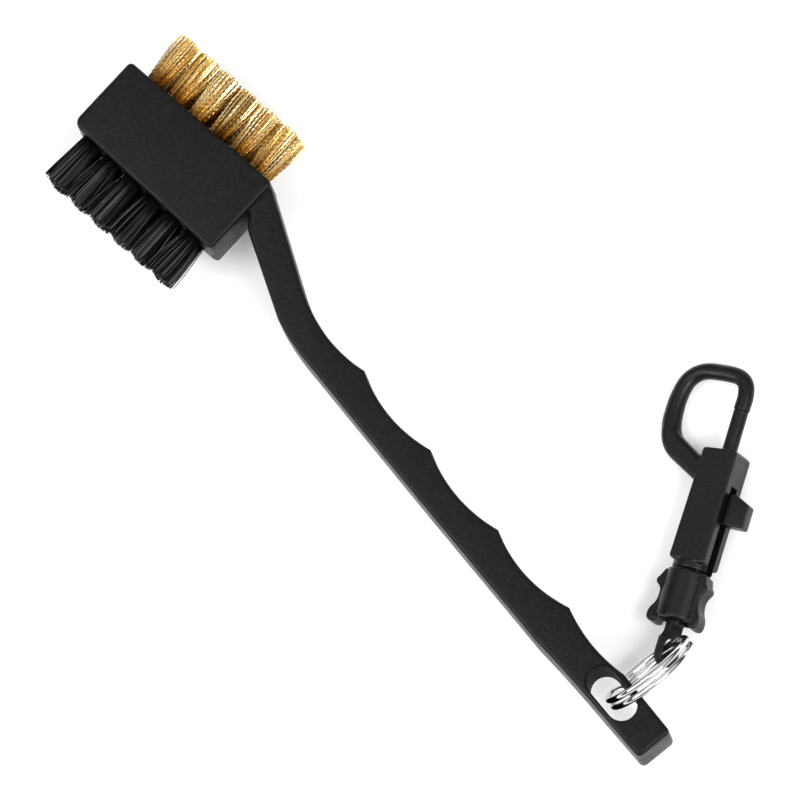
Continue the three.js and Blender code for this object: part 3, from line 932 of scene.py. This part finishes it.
def make_bolt():
    """The bolt: a block that slides in the body, its thumb tab and the pin that shuts the hook."""
    low = BOLT_BLOCK_LOW
    top = BOLT_BLOCK_TOP
    half = BOLT_BLOCK_HALF
    block = layered("block", rounded_box(BODY_X - half, BODY_X + half, low, top, 0.3),
                    rounded_layers(-half, half, 0.3))
    stub = box("stub", BODY_X, 5.15, low + 0.2, top - 0.2, -1.3, 1.3)
    outline = rounded_corners([
        (4.45, low, 0.3),
        (BOLT_TAB_REACH, low, 0.5),
        (BOLT_TAB_REACH, 33.5, 0.5),
        (5.6, top, 0.5),
        (4.45, top, 0.3),
    ])
    tab = layered("tab", outline, rounded_layers(-BOLT_TAB_HALF, BOLT_TAB_HALF, 0.35))
    pin_profile = [(BOLT_RADIUS, 35.0), (BOLT_RADIUS, BOLT_TIP - 0.11), (BOLT_RADIUS - 0.1, BOLT_TIP)]
    pin = lathe("pin", pin_profile, 40, BOLT_X)
    bolt = boolean(block, stub, "UNION")
    boolean(bolt, tab, "UNION")
    boolean(bolt, pin, "UNION")
    pocket = lathe("pocket", [(1.5, 27.0), (1.5, BOLT_POCKET_TOP)], 32, BODY_X)
    boolean(bolt, pocket, "DIFFERENCE")
    finish_piece(bolt, "bolt_moulding", "bolt", place=HOOK_PLACE, replaces=["slide_bolt"],
                 material=clip_plastic, sharp=30)


def make_spring():
    """The return spring stands on the swivel's head; it is drawn at one length, though the real spring
    shortens as the bolt is pulled down.
    """
    top = BOLT_POCKET_TOP - SPRING_WIRE - SPRING_GAP
    rise = top - SPRING_BOTTOM
    t = np.linspace(0, 1, 320)
    angle = 2 * math.pi * SPRING_TURNS * t
    x = BODY_X + SPRING_RADIUS * np.cos(angle)
    points = np.stack([x, SPRING_BOTTOM + rise * t, SPRING_RADIUS * np.sin(angle)], 1)
    spring = tube("spring", points, SPRING_WIRE, 10)
    finish_piece(spring, "spring_coil", "clip", place=HOOK_PLACE, replaces=["bolt_spring"],
                 material=spring_steel, sharp=60)
    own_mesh(spring)


make_eye()
make_collar()
make_body()
make_bolt()
make_spring()

for name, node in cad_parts.items():
    if "anchor" in name:
        node.data.materials.clear()
        node.data.materials.append(brass_anchor)

# ------------------------------------------------------------------ floor, light and camera

FLOOR_REACH = 3000
FLOOR_DEPTH = 5
FLOOR_GAP = 0.2
CAMERA_DISTANCE = 6.0
CAMERA_VIEW_WIDTH = 0.1669
CAMERA_SENSOR = 36


def make_floor():
    """A white table just under the clip, which is the lowest part, lit a little from within."""
    look = Look("floor")
    whites = [(0.3, (0.86, 0.86, 0.86)), (0.7, (0.88, 0.88, 0.88))]
    look.to("Base Color", look.ramp(look.noise(3), whites))
    look.shader.inputs["Roughness"].default_value = 0.9
    look.shader.inputs["Specular IOR Level"].default_value = 0.1
    look.shader.inputs["Emission Color"].default_value = (1, 1, 1, 1)
    look.shader.inputs["Emission Strength"].default_value = 0.15
    top = cad_box[0].z / MM - FLOOR_GAP
    floor = box("floor", -FLOOR_REACH, FLOOR_REACH, -FLOOR_REACH, FLOOR_REACH, top - FLOOR_DEPTH, top)
    floor.data.transform(Matrix.Scale(MM, 4))
    floor.data.materials.append(look.material)


def make_light(name, towards, strength, spread):
    """A far-off soft light that stands in the direction towards, and is spread degrees across."""
    data = bpy.data.lights.new(name, "SUN")
    data.energy = strength
    data.angle = math.radians(spread)
    obj = bpy.data.objects.new(name, data)
    bpy.context.scene.collection.objects.link(obj)
    obj.rotation_mode = "QUATERNION"
    obj.rotation_quaternion = Vector(towards).to_track_quat("Z", "Y")


def make_world():
    """A big soft light overhead, dark walls low down, and a pale strip along the horizon."""
    world = bpy.data.worlds.new("studio")
    world.use_nodes = True
    tree = world.node_tree
    place = tree.nodes.new("ShaderNodeTexCoord")
    split = tree.nodes.new("ShaderNodeSeparateXYZ")
    tones = tree.nodes.new("ShaderNodeValToRGB")
    stops = [(0.0, 0.9), (0.035, 0.9), (0.07, 0.1), (0.40, 0.1), (0.62, 0.85), (1.0, 0.85)]
    elements = tones.color_ramp.elements
    while len(elements) < len(stops):
        elements.new(0.5)
    for element, (position, tone) in zip(elements, stops):
        element.position = position
        element.color = (tone, tone, tone, 1)
    tree.links.new(place.outputs["Generated"], split.inputs["Vector"])
    tree.links.new(split.outputs["Z"], tones.inputs["Fac"])
    tree.links.new(tones.outputs["Color"], tree.nodes["Background"].inputs["Color"])
    tree.nodes["Background"].inputs["Strength"].default_value = 1.0
    bpy.context.scene.world = world


def make_camera():
    """A long lens that looks down on the brush, turned so that the grip runs to the lower right."""
    right = Vector((0.62369, 0.77524, -0.10018))
    up = Vector((-0.74594, 0.62858, 0.22021))
    back = Vector((0.23368, -0.06261, 0.97030))
    target = Vector((76.2, 4.14, 31.42)) * MM
    data = bpy.data.cameras.new("camera")
    data.sensor_width = CAMERA_SENSOR
    data.lens = CAMERA_SENSOR * CAMERA_DISTANCE / CAMERA_VIEW_WIDTH
    data.clip_start = 0.1
    data.clip_end = 30
    camera = bpy.data.objects.new("camera", data)
    bpy.context.scene.collection.objects.link(camera)
    turn = Matrix((right, up, back)).transposed()
    camera.matrix_world = Matrix.Translation(target + CAMERA_DISTANCE * back) @ turn.to_4x4()
    bpy.context.scene.camera = camera


make_floor()
make_light("soft_near", towards=(-0.15, -0.42, 0.89), strength=0.9, spread=28)
make_light("soft_butt", towards=(0.62, 0.15, 0.78), strength=2.3, spread=36)
make_light("soft_front", towards=(-0.18, -0.81, 0.56), strength=1.3, spread=26)
make_world()
bpy.context.scene.view_settings.view_transform = "Standard"

make_camera()
